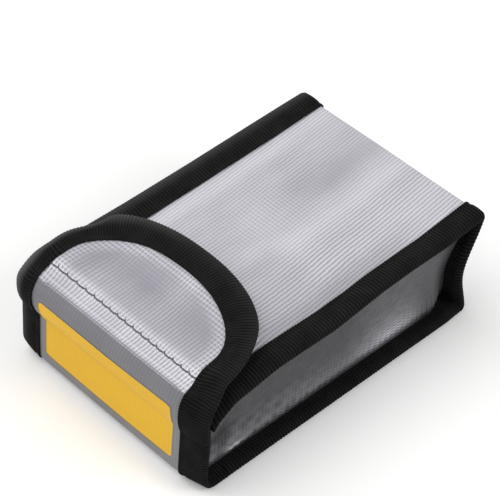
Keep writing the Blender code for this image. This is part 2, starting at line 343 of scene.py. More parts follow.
def settle(points, flap=False):
    """Move folded cloth and tape into the slack shape of the bag in use."""
    x, y, z = points.T
    level = z / RAIL_TOP
    upper = smooth(level, 0.5, 0.95)
    outward = np.clip((np.abs(x) - INNER) / BOUND, 0, 1.1)
    inside = np.clip(1 - (x / INNER) ** 2, 0, 1)
    rear = smooth(y, BACK - 13, BACK - 3)
    low_waist = np.sin(np.pi * np.clip(level, 0, 1) ** 0.62)
    right_seam = smooth(x, 10, INNER) * (1 - 1.4 * smooth(x, INNER, SIDE))
    new_x = x - np.sign(x) * BACK_BOW * rear * low_waist * outward
    new_x = new_x + LEAN * upper * right_seam * smooth(y, FRONT, FRONT + 30)
    drop = 1 - np.clip(level, 0, 1)
    sag = BACK_FOOT * drop + (BACK_SAG + ROOT_PULL * (1 - outward)) * np.sin(np.pi * drop ** 1.1) ** 2
    new_y = y - sag * smooth(y, BACK - 42, BACK - 8)
    top = settled_top(x, y, inside, flap)
    new_z = np.where(z < RAIL_TOP, z * top / RAIL_TOP, top + z - RAIL_TOP)
    settled = np.column_stack((new_x, new_y, new_z))
    if flap:
        settled = settled + flap_moves(x, y, z, upper, outward, inside)
    return settled


def body_place(across, along, depth):
    """Places on the body's stretch of the strip, in the bag in use."""
    return settle(fold(across, along, depth))


def flap_place(across, along, depth):
    """Places on the flap's stretch of the strip, in the bag in use."""
    return settle(fold(across, along, depth), flap=True)


# Making and finishing pieces


def choose(piece):
    """Make one piece the only selected and active object."""
    bpy.ops.object.select_all(action="DESELECT")
    piece.select_set(True)
    bpy.context.view_layer.objects.active = piece


def start_piece(name, primitive, **settings):
    """Add a primitive with nothing else selected, and name it and its mesh."""
    bpy.ops.object.select_all(action="DESELECT")
    primitive(**settings)
    piece = bpy.context.object
    piece.name = name
    piece.data.name = name
    return piece


def apply_modifier(piece, kind, **settings):
    """Add one modifier with its settings and apply it."""
    choose(piece)
    modifier = piece.modifiers.new(kind.title(), kind)
    for name, value in settings.items():
        setattr(modifier, name, value)
    bpy.ops.object.modifier_apply(modifier=modifier.name)


def thicken(piece, thickness):
    """Give a sheet its thickness, half to each side."""
    apply_modifier(piece, "SOLIDIFY", thickness=thickness * MM, offset=0)


def repeat(piece, count, step):
    """Copy a piece in a row, a step apart."""
    apply_modifier(piece, "ARRAY", count=count, use_relative_offset=False, use_constant_offset=True,
                   constant_offset_displace=step)


def face_outwards(piece):
    """Turn all faces of a closed mesh outwards."""
    choose(piece)
    bpy.ops.object.mode_set(mode="EDIT")
    bpy.ops.mesh.select_all(action="SELECT")
    bpy.ops.mesh.normals_make_consistent(inside=False)
    bpy.ops.object.mode_set(mode="OBJECT")


def corner_points(piece):
    """All of a mesh's vertices as an array, in its own units."""
    flat = np.empty(len(piece.data.vertices) * 3)
    piece.data.vertices.foreach_get("co", flat)
    return flat.reshape(-1, 3)


def move_corners(piece, points):
    """Put a mesh's vertices at the given places, in its own units."""
    piece.data.vertices.foreach_set("co", points.ravel())


def cut_sheet(name, across, along):
    """Add a flat grid with columns and rows at the given places; return it and where each vertex lies."""
    columns = len(across) - 1
    rows = len(along) - 1
    piece = start_piece(name, bpy.ops.mesh.primitive_grid_add, x_subdivisions=columns, y_subdivisions=rows,
                        size=1)
    place = corner_points(piece)
    column = np.rint((place[:, 0] + 0.5) * columns).astype(int)
    row = np.rint((place[:, 1] + 0.5) * rows).astype(int)
    return piece, across[column], along[row]


def lay(piece, points, flat, face=None):
    """Put a mesh's vertices in place, and note on each where it lay on the flat cloth.

    The third number of flat says how far the weft shows on cloth, and how high a cross rib stands on tape.
    On silver cloth, face notes how strong its ribs are, how far it takes a painted shade like the front wall,
    and how much lighter or darker its tone is, partly with painted light and shade; on tape, how much
    painted sheen its fold has."""
    move_corners(piece, points * MM)
    note = piece.data.attributes.new("flat", "FLOAT_VECTOR", "POINT")
    note.data.foreach_set("vector", (flat * MM).ravel())
    if face is not None:
        note = piece.data.attributes.new("face", "FLOAT_VECTOR", "POINT")
        note.data.foreach_set("vector", face.ravel())
    piece.data.update()


def dress(piece, material, angle=50):
    """Give a finished piece its material, slot and shading."""
    piece.data.materials.clear()
    piece.data.materials.append(material)
    choose(piece)
    bpy.ops.object.shade_smooth_by_angle(angle=math.radians(angle))
    return piece


# Materials


def linear(code):
    """Linear colour of an sRGB hex code."""
    channels = [int(code[k:k + 2], 16) / 255 for k in (1, 3, 5)]
    return (*[c / 12.92 if c <= 0.04045 else ((c + 0.055) / 1.055) ** 2.4 for c in channels], 1)


def add(tree, kind, inputs=None, **settings):
    """Add a node with its settings, and link or set its inputs."""
    node = tree.nodes.new("ShaderNode" + kind)
    for name, value in settings.items():
        setattr(node, name, value)
    for name, value in (inputs or {}).items():
        if isinstance(value, bpy.types.NodeSocket):
            tree.links.new(value, node.inputs[name])
        else:
            node.inputs[name].default_value = value
    return node


def start_material(name, **sockets):
    """A Principled material with constant values set on its sockets."""
    material = bpy.data.materials.new(name)
    material.use_nodes = True
    shader = material.node_tree.nodes["Principled BSDF"]
    for socket, value in sockets.items():
        shader.inputs[socket.replace("_", " ")].default_value = value
    return material, material.node_tree, shader


def connect(tree, shader, **outputs):
    """Link outputs of nodes to a shader's sockets."""
    for socket, output in outputs.items():
        tree.links.new(output, shader.inputs[socket.replace("_", " ")])


def wave_scale(pitch):
    """Scale of a wave texture whose bands are that many millimetres apart."""
    return math.pi / 10 / (pitch * MM)


def noise_scale(size):
    """Scale of a noise texture whose blots are about that many millimetres wide."""
    return 1 / (size * MM)


def coated_cloth(name, crest, valley, shade_crest, shade_valley, shine, cloud_size, cloud_turn, cloud_share):
    """Woven glass-fibre cloth with an aluminium coating: a soft grey sheen, brighter along each rib and
    darker in the valleys, which a light weft cuts into dashes, and cloudy marks where it has been pressed.
    On the front wall the coating is smoother, and greyer with a painted shade."""
    material, tree, shader = start_material(name, Metallic=shine, IOR=1.5)
    flat = add(tree, "Attribute", attribute_name="flat").outputs["Vector"]
    face = add(tree, "Attribute", attribute_name="face").outputs["Vector"]
    flat_parts = add(tree, "SeparateXYZ", {"Vector": flat}).outputs
    face_parts = add(tree, "SeparateXYZ", {"Vector": face}).outputs
    rib = add(tree, "TexWave", {"Vector": flat, "Scale": wave_scale(CLOTH_PITCH), "Distortion": 1.3,
                                "Detail": 1.5, "Detail Scale": 1.7}, bands_direction="X").outputs["Fac"]
    weft = add(tree, "TexWave", {"Vector": flat, "Scale": wave_scale(WEFT_PITCH), "Distortion": 0.4},
               bands_direction="Y").outputs["Fac"]
    turned = add(tree, "Mapping", {"Vector": flat, "Rotation": (0, 0, math.radians(cloud_turn)),
                                   "Scale": (1, 0.35, 1)}).outputs["Vector"]
    cloud = add(tree, "TexNoise", {"Vector": turned, "Scale": noise_scale(cloud_size), "Detail": 3.0,
                                   "Roughness": 0.55}).outputs["Fac"]
    speck = add(tree, "TexNoise", {"Vector": flat, "Scale": noise_scale(1.1), "Detail": 2.0}).outputs["Fac"]
    pressed = add(tree, "Math", {0: flat_parts["Z"], 1: 1 / MM}, operation="MULTIPLY").outputs[0]
    crossing = add(tree, "Math", {0: weft, 1: 2.0}, operation="POWER").outputs[0]
    weft_share = add(tree, "Math", {0: crossing, 1: pressed}, operation="MULTIPLY").outputs[0]
    broad = add(tree, "Math", {0: rib, 1: 0.6}, operation="POWER").outputs[0]
    swing = add(tree, "Math", {0: broad, 1: 0.6}, operation="SUBTRACT").outputs[0]
    contrast = add(tree, "Math", {0: swing, 1: face_parts["X"]}, operation="MULTIPLY").outputs[0]
    cloudy = add(tree, "Math", {0: cloud, 1: cloud_share, 2: 0.35 - cloud_share / 2},
                 operation="MULTIPLY_ADD").outputs[0]
    light = add(tree, "Math", {0: cloudy, 1: contrast}, operation="ADD").outputs[0]
    # The face's third number lifts or lowers the tone; on the top and the gussets it holds painted light and
    # shade
    lift = add(tree, "Math", {0: face_parts["X"], 1: 0.25, 2: face_parts["Z"]},
               operation="MULTIPLY_ADD").outputs[0]
    tone = add(tree, "Math", {0: light, 1: lift}, operation="ADD").outputs[0]
    silver = add(tree, "Mix", {0: tone, 6: linear(valley), 7: linear(crest)}, data_type="RGBA").outputs[2]
    # Painted shade: the darker colours, mixed in by the face's second number
    wall = add(tree, "Mix", {0: tone, 6: linear(shade_valley), 7: linear(shade_crest)},
               data_type="RGBA").outputs[2]
    mixed = add(tree, "Mix", {0: face_parts["Y"], 6: silver, 7: wall}, data_type="RGBA").outputs[2]
    crossed = add(tree, "Mix", {0: weft_share, 6: mixed, 7: linear(crest)}, data_type="RGBA").outputs[2]
    rough = add(tree, "Math", {0: speck, 1: 0.22, 2: 0.34}, operation="MULTIPLY_ADD").outputs[0]
    fine = add(tree, "Math", {0: weft, 1: speck}, operation="ADD").outputs[0]
    height = add(tree, "Math", {0: contrast, 1: 4.0, 2: fine}, operation="MULTIPLY_ADD").outputs[0]
    bump = add(tree, "Bump", {"Strength": 0.6, "Distance": 0.06 * MM, "Height": height}).outputs["Normal"]
    connect(tree, shader, Base_Color=crossed, Roughness=rough, Normal=bump)
    return material


def ribbed_tape(name, crest, valley, painted_sheen):
    """Grosgrain tape of spun polyester: matte black, with fine yarns along each cross rib, a slight grey
    bloom on the crests, and a painted sheen where it is folded over the edge."""
    material, tree, shader = start_material(name, Roughness=0.8, Specular_IOR_Level=0.06, Sheen_Weight=0.03)
    flat = add(tree, "Attribute", attribute_name="flat").outputs["Vector"]
    blend_share = add(tree, "Attribute", attribute_name="face").outputs["Fac"]
    parts = add(tree, "SeparateXYZ", {"Vector": flat}).outputs
    yarn = add(tree, "TexWave", {"Vector": flat, "Scale": wave_scale(YARN_PITCH), "Distortion": 1.0},
               bands_direction="Y").outputs["Fac"]
    fluff = add(tree, "TexNoise", {"Vector": flat, "Scale": noise_scale(6), "Detail": 4.0}).outputs["Fac"]
    height = add(tree, "Math", {0: parts["Z"], 1: 1 / MM}, operation="MULTIPLY").outputs[0]
    ridges = add(tree, "Math", {0: height, 1: 2.0}, operation="POWER").outputs[0]
    bloom = add(tree, "Math", {0: ridges, 1: fluff}, operation="MULTIPLY").outputs[0]
    off_fold = add(tree, "Math", {0: parts["Y"], 1: BOUND * MM}, operation="SUBTRACT").outputs[0]
    from_fold = add(tree, "Math", {0: off_fold}, operation="ABSOLUTE").outputs[0]
    # Painted sheen: lighter towards the fold, as far as the tape's face share says
    painted_light = add(tree, "MapRange", {"Value": from_fold, "From Min": 0, "From Max": TAPE_SHEEN * MM, "To Min": 1,
                                  "To Max": 0}, interpolation_type="SMOOTHSTEP").outputs["Result"]
    wear_and_sheen = add(tree, "Math", {0: painted_light, 1: blend_share}, operation="MULTIPLY").outputs[0]
    ridge = add(tree, "Mix", {0: bloom, 6: linear(valley), 7: linear(crest)}, data_type="RGBA").outputs[2]
    mixed = add(tree, "Mix", {0: wear_and_sheen, 6: ridge, 7: linear(painted_sheen)}, data_type="RGBA").outputs[2]
    bump = add(tree, "Bump", {"Strength": 0.5, "Distance": 0.05 * MM, "Height": yarn}).outputs["Normal"]
    connect(tree, shader, Base_Color=mixed, Normal=bump)
    return material


def twisted_thread(name, light, dark, twist):
    """Spun polyester sewing thread: matte, with the dark lines of its twist."""
    material, tree, shader = start_material(name, Roughness=0.75, Specular_IOR_Level=0.1)
    place = add(tree, "TexCoord").outputs["Object"]
    ply = add(tree, "TexWave", {"Vector": place, "Scale": wave_scale(twist), "Distortion": 0.8},
              bands_direction="DIAGONAL").outputs["Fac"]
    mixed = add(tree, "Mix", {0: ply, 6: linear(dark), 7: linear(light)}, data_type="RGBA").outputs[2]
    bump = add(tree, "Bump", {"Strength": 0.4, "Distance": 0.05 * MM, "Height": ply}).outputs["Normal"]
    connect(tree, shader, Base_Color=mixed, Normal=bump)
    return material


def ink_patch(name, full, wear_and_sheen):
    """Yellow screen-print ink on the coated cloth: satin, a little thin on the ribs under it."""
    material, tree, shader = start_material(name, IOR=1.48, Specular_IOR_Level=0.25)
    flat = add(tree, "Attribute", attribute_name="flat").outputs["Vector"]
    rib = add(tree, "TexWave", {"Vector": flat, "Scale": wave_scale(CLOTH_PITCH)},
              bands_direction="X").outputs["Fac"]
    cloud = add(tree, "TexNoise", {"Vector": flat, "Scale": noise_scale(9), "Detail": 4.0}).outputs["Fac"]
    thin = add(tree, "Math", {0: rib, 1: cloud}, operation="MULTIPLY").outputs[0]
    mixed = add(tree, "Mix", {0: thin, 6: linear(full), 7: linear(wear_and_sheen)}, data_type="RGBA").outputs[2]
    rough = add(tree, "Math", {0: cloud, 1: 0.2, 2: 0.36}, operation="MULTIPLY_ADD").outputs[0]
    bump = add(tree, "Bump", {"Strength": 0.35, "Distance": 0.05 * MM, "Height": rib}).outputs["Normal"]
    connect(tree, shader, Base_Color=mixed, Roughness=rough, Normal=bump)
    return material


# Shade colours are a painted shade: the front wall's on silver cloth, most of each gusset's on side cloth
silver_cloth = coated_cloth("silver_coated_glass_cloth", crest="#d3d2d9", valley="#8f8e96",
                            shade_crest="#909096", shade_valley="#78787d", shine=0.22, cloud_size=16,
                            cloud_turn=35, cloud_share=0.7)
side_cloth = coated_cloth("shaded_coated_glass_cloth", crest="#d4d3da", valley="#66666c",
                          shade_crest="#525255", shade_valley="#18181a", shine=0.3, cloud_size=1.8,
                          cloud_turn=0, cloud_share=0.8)
# Its third colour is a painted sheen on the folds
black_tape = ribbed_tape("black_grosgrain_tape", crest="#2b2a2a", valley="#020202", painted_sheen="#6a6969")
black_thread = twisted_thread("black_sewing_thread", "#181818", "#080808", twist=0.5)
grey_thread = twisted_thread("grey_sewing_thread", "#74747a", "#505056", twist=0.5)
yellow_ink = ink_patch("yellow_printed_ink", "#fac62c", "#f0ba2c")
hook_nylon = twisted_thread("grey_hook_nylon", "#6d6d72", "#5a5a60", twist=0.6)
loop_nylon = twisted_thread("grey_loop_nylon", "#7d7d82", "#5f5f66", twist=0.9)


# Silver cloth: the strip in three pieces that meet at the bottom split and the front crease

RIB_LEAN = 0.07          # the body's ribs run a little to the left, towards the back
TONGUE_LEAN = -0.08      # the tongue's run a little to the right
cloth_half = SIDE - CLOTH_EDGE
cloth_columns = spread(-cloth_half, cloth_half, CLOTH_STEP)


def plain(across, along):
    """Cloth without painted light, painted shade or other changes of tone."""
    return 0 * across


def strip_cloth(name, rows, place, pressed, relief, tone, rubbed=plain, lean=0.0, narrow=None):
    """One piece of the strip, ribbed along its length, folded and settled."""
    piece, across, along = cut_sheet(name, cloth_columns, rows)
    if narrow is not None:
        across = across * narrow(along)
    wander = across + lean * (along - fold_end) + RIB_WANDER * ripple(along, across, 37)
    wall = smooth(along, foot_start, foot_end) * (1 - smooth(along, fold_start - 0.3, fold_end + 0.6))
    strength = relief(across, along) * (1 - 0.6 * wall)
    # Painted shade: on the front wall, and where rubbed says so, as beside the top's right-hand tape
    shade_share = np.maximum(wall, rubbed(across, along))
    points = place(across, along, np.full_like(across, CLOTH_DEPTH))
    flat = np.column_stack((wander, along, pressed(across, along)))
    lay(piece, points, flat, np.column_stack((strength, shade_share, tone(across, along))))
    thicken(piece, CLOTH)
    return dress(piece, silver_cloth)


def panel_press(across, along):
    """Where the weft shows on the body: a little all over, and most of all left of the middle of the top."""
    middle = hump(across, -4, 16) * hump(MOUTH + along, 10, 24)
    return 0.1 + 0.16 * smooth(ripple(along, across, 60), 0, 0.6) + 0.3 * middle


def panel_relief(across, along):
    """How strong the ribs are on the body: flatter on the left of the top, rubbed away in one long streak."""
    streak = hump(across, -7, 5) * smooth(MOUTH + along, 22, 42)
    wear_and_sheen = 0.15 * smooth(ripple(across, along, 52), 0, 0.7)
    return (0.53 + 0.33 * smooth(across, 0, 20) - wear_and_sheen) * (1 - 0.8 * streak)


def panel_painted_light(across, along):
    """Painted light and shade: long light and dark lines where folds pressed along the top take the light."""
    behind_flap = 1 - smooth(-MOUTH - along, -10, 6)
    light = 0.2 * hump(across, -31, 3.5) + 0.16 * hump(across, 8, 4.5) * behind_flap
    dark = 0.12 * hump(across, -10, 10)
    return (light - dark) * (1 - smooth(along, head_start - 2, head_end))


def panel_painted_shade(across, along):
    """Painted shade on the top: along its right-hand tape, and at the front on the right."""
    place = MOUTH + along
    beside_tape = 0.75 * smooth(across, 23, 34) * smooth(-place, -56, -4)
    return np.maximum(beside_tape, 0.35 * smooth(across, 2, 9) * smooth(-place, -10, 6))


def bent_rows(low, high, bends, step=2.5, fine=0.45):
    """Rows of cloth, close together round each bend."""
    rows = [low]
    for first, last in bends:
        rows = rows + list(spread(rows[-1], first, step))[1:] + list(spread(first, last, fine))[1:]
    return np.array(rows + list(spread(rows[-1], high, step))[1:])


back_bends = [(head_start - 1, head_end + 1), (heel_start - 1, heel_end + 1)]
body_rows = bent_rows(MOUTH_EDGE, split_run, back_bends)
body_cloth = strip_cloth("body_cloth", body_rows, body_place, panel_press, panel_relief, panel_painted_light,
                         panel_painted_shade, RIB_LEAN)
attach(body_cloth, "bag")
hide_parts("body_panel")

lower_rows = bent_rows(split_run, crease_run, [(foot_start - 1, foot_end + 1)], step=1.2)
flap_lower_cloth = strip_cloth("flap_lower_cloth", lower_rows, flap_place, panel_press, panel_relief, plain)
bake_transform(flap_lower_cloth)
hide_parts("front_panel")

ZIGZAG_AHEAD = 0.6       # seam's line, in front of its solid
RUBBED = (-6, fold_end + 23)   # middle of the smooth place on the tongue, across and along
hook_front = tongue_run(hook_low[1])
hook_back = tongue_run(hook_high[1])
zigzag_run = tongue_run(span("hook_tape_stitching")[0][1] - ZIGZAG_AHEAD)


def tongue_share(along):
    """Half width of the tongue's cloth as a share of the strip's."""
    reach = np.clip((along - shoulder_run) / (TONGUE_ROUND - CLOTH_EDGE), 0, 1)
    return (1 - reach ** TONGUE_FULL) ** (1 / TONGUE_FULL)


def hook_band(along):
    """The stretch of the tongue that is drawn tight over the front of the hook tape."""
    return smooth(along, hook_front - 3, hook_front) * (1 - smooth(along, zigzag_run + 2, zigzag_run + 5))


def tongue_rim(across, along):
    """The stretch of the tongue along its taped edge."""
    round_depth = TONGUE_ROUND - BOUND * (1 + TIP_WIDER)
    into_round = np.clip(along - shoulder_run, 0, None) / round_depth
    reach = np.abs(across / INNER) ** TONGUE_FULL + into_round ** TONGUE_FULL
    return smooth(reach, 0.55, 0.8) * smooth(along, fold_end, fold_end + 6)


def tongue_press(across, along):
    """Where the weft shows: over the hook tape, at the fold and along the tongue's taped edge."""
    at_fold = hump(along, fold_end + 1, 1.5) * smooth(along, fold_start, fold_end + 0.4)
    return np.clip(0.3 * hook_band(along) + 0.5 * at_fold + 0.5 * tongue_rim(across, along), 0, 0.7)


def tongue_relief(across, along):
    """How strong the ribs are: most over the hook tape and at the rim, rubbed flat in the tongue's middle."""
    rim = tongue_rim(across, along)
    band = 0.65 - 0.3 * smooth(along, zigzag_run + 2, zigzag_run + 5) + 0.1 * smooth(across, -5, 10)
    rubbed = hump(across, RUBBED[0], 8) * hump(along, RUBBED[1], 6)
    return (band + 0.35 * rim) * (1 - rubbed * (1 - rim))


def tongue_tone(across, along):
    """A lighter line beside the middle of the tongue, and greyer cloth towards its end."""
    back = smooth(along, hook_front, hook_back + 8)
    return -0.22 - 0.27 * back + 0.25 * back * hump(across, 7, 6)


upper_rows = bent_rows(crease_run, tongue_end, [(fold_start - 1, fold_end + 1)], step=1.2, fine=0.35)
flap_upper_cloth = strip_cloth("flap_upper_cloth", upper_rows, flap_place, tongue_press, tongue_relief,
                               tongue_tone, lean=TONGUE_LEAN, narrow=tongue_share)
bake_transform(flap_upper_cloth)
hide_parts("tongue_panel")


# Black tape, folded over the edges


def tape_leg(width, half, bend):
    """Inset and rise of points on one leg of a folded tape, from its rim to its bend, grooved at the seam."""
    seam = width - SEAM_INSET
    past_seam = seam - GROOVE_RUN
    legs = np.concatenate([np.linspace(width - TAPE / 2, past_seam, LEG_POINTS),
                           np.linspace(past_seam, bend + TAPE / 2, LEG_POINTS)[1:]])
    crown = np.sin(np.pi * np.clip(legs / seam, 0, 1))
    groove = SEAM_GROOVE * hump(legs, seam, GROOVE_HALF)
    rim = RIM_DROP * smooth(legs, width - RIM_RUN, width)
    return legs, half - PUFF * (1 - crown) - groove - rim


def tape_section(stack, outer=BOUND, inner=BOUND):
    """Points round a folded tape, outer rim to inner rim.

    Gives their inset from the edge, depth, outward direction and place along the girth."""
    half = stack / 2 - TAPE / 2 - TAPE_RIB
    bend = half * BEND_FULL
    outer_inset, outer_rise = tape_leg(outer, half, bend)
    inner_inset, inner_rise = tape_leg(inner, half, bend)
    turns = np.radians(np.linspace(90, -90, BEND_POINTS)[1:-1])
    edge_inset = TAPE / 2 + bend * (1 - np.cos(turns))
    edge_rise = (half - PUFF) * np.sin(turns)
    inset = np.concatenate([outer_inset, edge_inset, inner_inset[::-1]])
    rise = np.concatenate([outer_rise, edge_rise, -inner_rise[::-1]])
    outline = np.column_stack((inset, rise))
    way = unit(np.gradient(outline, axis=0))
    outward = np.column_stack((way[:, 1], -way[:, 0]))
    outward = outward * np.where(outward[:, 1] * rise < 0, -1, 1)[:, None]
    return inset, stack / 2 - rise, outward, length_along(outline)


def bind(name, run, section, place, blend_share=0.0):
    """Fold a ribbed tape over an edge.

    Place turns run, inset and depth into points of the bag, and the last argument gives how much painted
    sheen lies on the fold: one share, or one each for the start, the middle and the end of the run."""
    inset, depth, outward, girth = section
    ribs = round((run[1] - run[0]) / TAPE_PITCH)
    stations = np.linspace(run[0], run[1], ribs * RIB_STEPS + 1)
    piece, point, along = cut_sheet(name, np.arange(len(inset)), stations)
    share = (along - run[0]) / (run[1] - run[0])
    crest = np.abs(np.sin(np.pi * (share * ribs)))
    swell = TAPE_RIB * crest
    points = place(along, inset[point] + outward[point, 0] * swell, depth[point] - outward[point, 1] * swell)
    painted_sheen = np.interp(share, (0, 0.5, 1), np.broadcast_to(blend_share, 3))
    lay(piece, points, np.column_stack((along, girth[point], crest)), np.column_stack((painted_sheen, painted_sheen, painted_sheen)))
    thicken(piece, TAPE)
    return dress(piece, black_tape, angle=60)


def stitch_row(name, run, inset, depth, place):
    """One capsule of thread, copied along a seam and laid on the tape."""
    piece = start_piece(name, bpy.ops.mesh.primitive_uv_sphere_add, segments=6, ring_count=4,
                        radius=THREAD / 2)
    capsule = corner_points(piece)[:, (2, 0, 1)]
    capsule[:, 0] += np.sign(np.round(capsule[:, 0], 4)) * (STITCH - THREAD) / 2
    move_corners(piece, capsule)
    pitch = STITCH + STITCH_GAP
    count = int((run[1] - run[0]) / pitch)
    repeat(piece, count, (pitch, 0, 0))
    row = corner_points(piece)
    start = run[0] + (run[1] - run[0] - (count - 1) * pitch) / 2
    dip = STITCH_DIP * (2 * np.abs((row[:, 0] + pitch / 2) % pitch / pitch - 0.5)) ** 2
    lay(piece, place(start + row[:, 0], inset + row[:, 1], depth - row[:, 2] + dip), row)
    face_outwards(piece)
    return dress(piece, black_thread, angle=80)


EDGE_SHEEN = {-1: 0.3, 1: 0.0}   # painted sheen on the fold of each long tape
FLAP_SHEEN = (0.9, 0.1, 0)       # and on the flap's tape, from the left round to the right
sides = {"left": -1, "right": 1}
seam_section = tape_section(SEAM_STACK, BOUND, INSIDE_BOUND)
flap_section = tape_section(FLAP_STACK)
seam_run = (2, split_run - 1)


def back_recess(drop):
    """How far a gusset is drawn in along the back, that share of the way down."""
    return BACK_RECESS * np.clip(drop, 0, 1) ** 2.5


def edge_place(side, strip_place):
    """Places on the straight long edge of the strip, on one side.

    The tape's inner leg widens round the lower back, where the gusset is drawn in."""
    def place(along, inset, depth):
        recess = back_recess((along - head_end) / (heel_start - head_end))
        recess = recess * (1 - smooth(along, heel_end, heel_end + RECESS_RUN))
        inner_leg = smooth(depth, 1.6, 2.6)
        wider = 1 + recess / INSIDE_BOUND * inner_leg
        return strip_place(side * (SIDE - inset * wider), along, depth)
    return place


for label, side in sides.items():
    on_body = edge_place(side, body_place)
    on_flap = edge_place(side, flap_place)
    seam_tape = bind(f"{label}_seam_tape", (0, split_run), seam_section, on_body, EDGE_SHEEN[side])
    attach(seam_tape, "bag")
    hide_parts(f"{label}_seam_binding")
    fold_tape = bind(f"{label}_fold_tape", (split_run, crease_run), flap_section, on_flap, EDGE_SHEEN[side])
    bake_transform(fold_tape)
    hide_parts(f"{label}_front_binding")
    seam = stitch_row(f"{label}_seam_stitches", seam_run, BOUND - SEAM_INSET, SEAM_DEPTH, on_body)
    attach(seam, "bag")
    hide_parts(f"{label}_seam_stitching")
    under = stitch_row(f"{label}_seam_under_stitches", seam_run, INSIDE_BOUND - SEAM_INSET,
                       SEAM_STACK - SEAM_DEPTH, on_body)
    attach(under, "bag")
    front_seam = stitch_row(f"{label}_fold_stitches", (split_run + 1, crease_run), BOUND - SEAM_INSET,
                            SEAM_DEPTH, on_flap)
    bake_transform(front_seam)


# The flap's tape: up one side from the crease, round the tongue and down the other side

ROUND_POINTS = 241       # on the tongue's round end
EDGE_STEP = 0.5          # spacing of the points up to it
EDGE_POINTS = 1200       # on the whole edge, evenly spaced
turns = np.linspace(0, math.pi, ROUND_POINTS)
end_half = SIDE - TONGUE_TAPER
round_across = -end_half * np.sign(np.cos(turns)) * np.abs(np.cos(turns)) ** (2 / TONGUE_FULL)
round_along = shoulder_run + TONGUE_ROUND * np.abs(np.sin(turns)) ** (2 / TONGUE_FULL)
draw_in = spread(crease_run, shoulder_run, EDGE_STEP)[:-1]
draw_half = SIDE - TONGUE_TAPER * smooth(draw_in, fold_end, shoulder_run)
edge = np.column_stack((np.concatenate([-draw_half, round_across, draw_half[::-1]]),
                        np.concatenate([draw_in, round_along, draw_in[::-1]])))
edge_run = length_along(edge)
edge_length = edge_run[-1]
even_run = np.linspace(0, edge_length, EDGE_POINTS)
even_edge = np.column_stack([np.interp(even_run, edge_run, places) for places in edge.T])
even_way = unit(np.gradient(even_edge, axis=0))
even_in = np.column_stack((even_way[:, 1], -even_way[:, 0]))


def tongue_place(along, inset, depth):
    """Places on the edge of the flap, from the left crease round the tongue to the right crease."""
    rim = [np.interp(along, even_run, places) for places in even_edge.T]
    inwards = [np.interp(along, even_run, ways) for ways in even_in.T]
    wider = inset * (1 + TIP_WIDER * smooth(rim[1], shoulder_run + 6, strip_line.length))
    return flap_place(rim[0] + wider * inwards[0], rim[1] + wider * inwards[1], depth)


flap_tape = bind("flap_tape", (0, edge_length), flap_section, tongue_place, FLAP_SHEEN)
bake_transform(flap_tape)
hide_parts("tongue_binding")
flap_stitches = stitch_row("flap_stitches", (1, edge_length - 1), BOUND - SEAM_INSET, SEAM_DEPTH,
                           tongue_place)
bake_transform(flap_stitches)


# Gussets: a wall on each side, turned out along three edges into flanges inside the folded tape

FLANGE_DEPTH = 2.25      # outermost line of the bag to the middle of the flange
WALL_BEND = 0.7          # radius where the wall turns out into the flange
FLANGE_EDGE = 1.7        # its edge inside the folded tape
FLANGE = SIDE - WALL - WALL_BEND - FLANGE_EDGE
FLANGE_SPARE = 0.6       # past the flange's edge, where the sheet's corners are cut away
GUSSET_EDGE = 1.5        # front edge of the wall inside its tape at the mouth
WALL_CORNER = 2.0
SIDE_BELLY = 0.9         # the slack wall, outwards
GUSSET_ROWS = 0.35       # spacing of the rows that follow its folds
GUSSET_STEP = 0.8        # spacing of its columns
FLANGE_STEP = 0.5        # their spacing near the back flange
FLANGE_NEAR = 4.0        # from where they are that close
PUCKER = 3.1             # spacing of the puckers along the bottom tape
PUCKER_RISE = 0.22
GLINT = (-48, 6.8)       # middle of a painted glint, a short bright line low down behind the flap, along and up
POCKET = (-55, 16)       # middle of the painted shade in the pocket above it
GUSSET_PAINTED_LIGHT = {-1: 0.35, 1: 1.0}   # how much painted light and shade each wall gets, with its specks and puckers
gusset_front = MOUTH + GUSSET_EDGE
gusset_back = BACK - FLANGE_DEPTH - WALL_BEND
gusset_foot = FLANGE_DEPTH + WALL_BEND
gusset_head = RAIL_TOP - FLANGE_DEPTH - WALL_BEND


def pucker_wave(along, height):
    """Puckers where the wall is sewn to the bottom tape."""
    return np.sin(2 * np.pi * along / PUCKER + 2 * ripple(along, height, 30))


def gusset_slack(along, height):
    """How far the wall bellies out over the bottom tape, with wrinkles pushed into its lower front corner."""
    share = (height - gusset_foot) / (gusset_head - gusset_foot)
    reach = (along - gusset_front) / (gusset_back - gusset_front)
    hold = smooth(share, 0, 0.1) * smooth(1 - share, 0, 0.1) * smooth(1 - reach, 0, 0.05)
    wrinkles = 0.5 * ripple(along, height, 13) + 0.35 * ripple(height, along, 5, 0.8)
    crumple = smooth(-reach, -0.5, -0.05) * wrinkles
    puckers = PUCKER_RISE * pucker_wave(along, height) * smooth(-share, -0.4, -0.1)
    return hold * (SIDE_BELLY * smooth(1 - share, 0, 0.7) + smooth(reach, 0, 0.06) * crumple + puckers)


def gusset_glint(along, height):
    """The bright line, where the coating catches the light."""
    return hump(along, GLINT[0], 3.5) * hump(height, GLINT[1], 1.1)


def gusset_shade(along, height, painted_light):
    """How far the wall takes a painted shade: least in a painted pool of light low down towards the back, and
    at the painted glint.
    """
    low = np.exp(-np.clip(height - 9, 0, None) / 6.5)
    shine = (0.34 + 0.66 * hump(along, 29, 13)) * (1 - smooth(along, 42, 54))
    bright = low * shine + 0.07 * smooth(along, 4, 16) + 0.9 * gusset_glint(along, height)
    return 1 - painted_light * bright - 0.12 * (1 - painted_light)


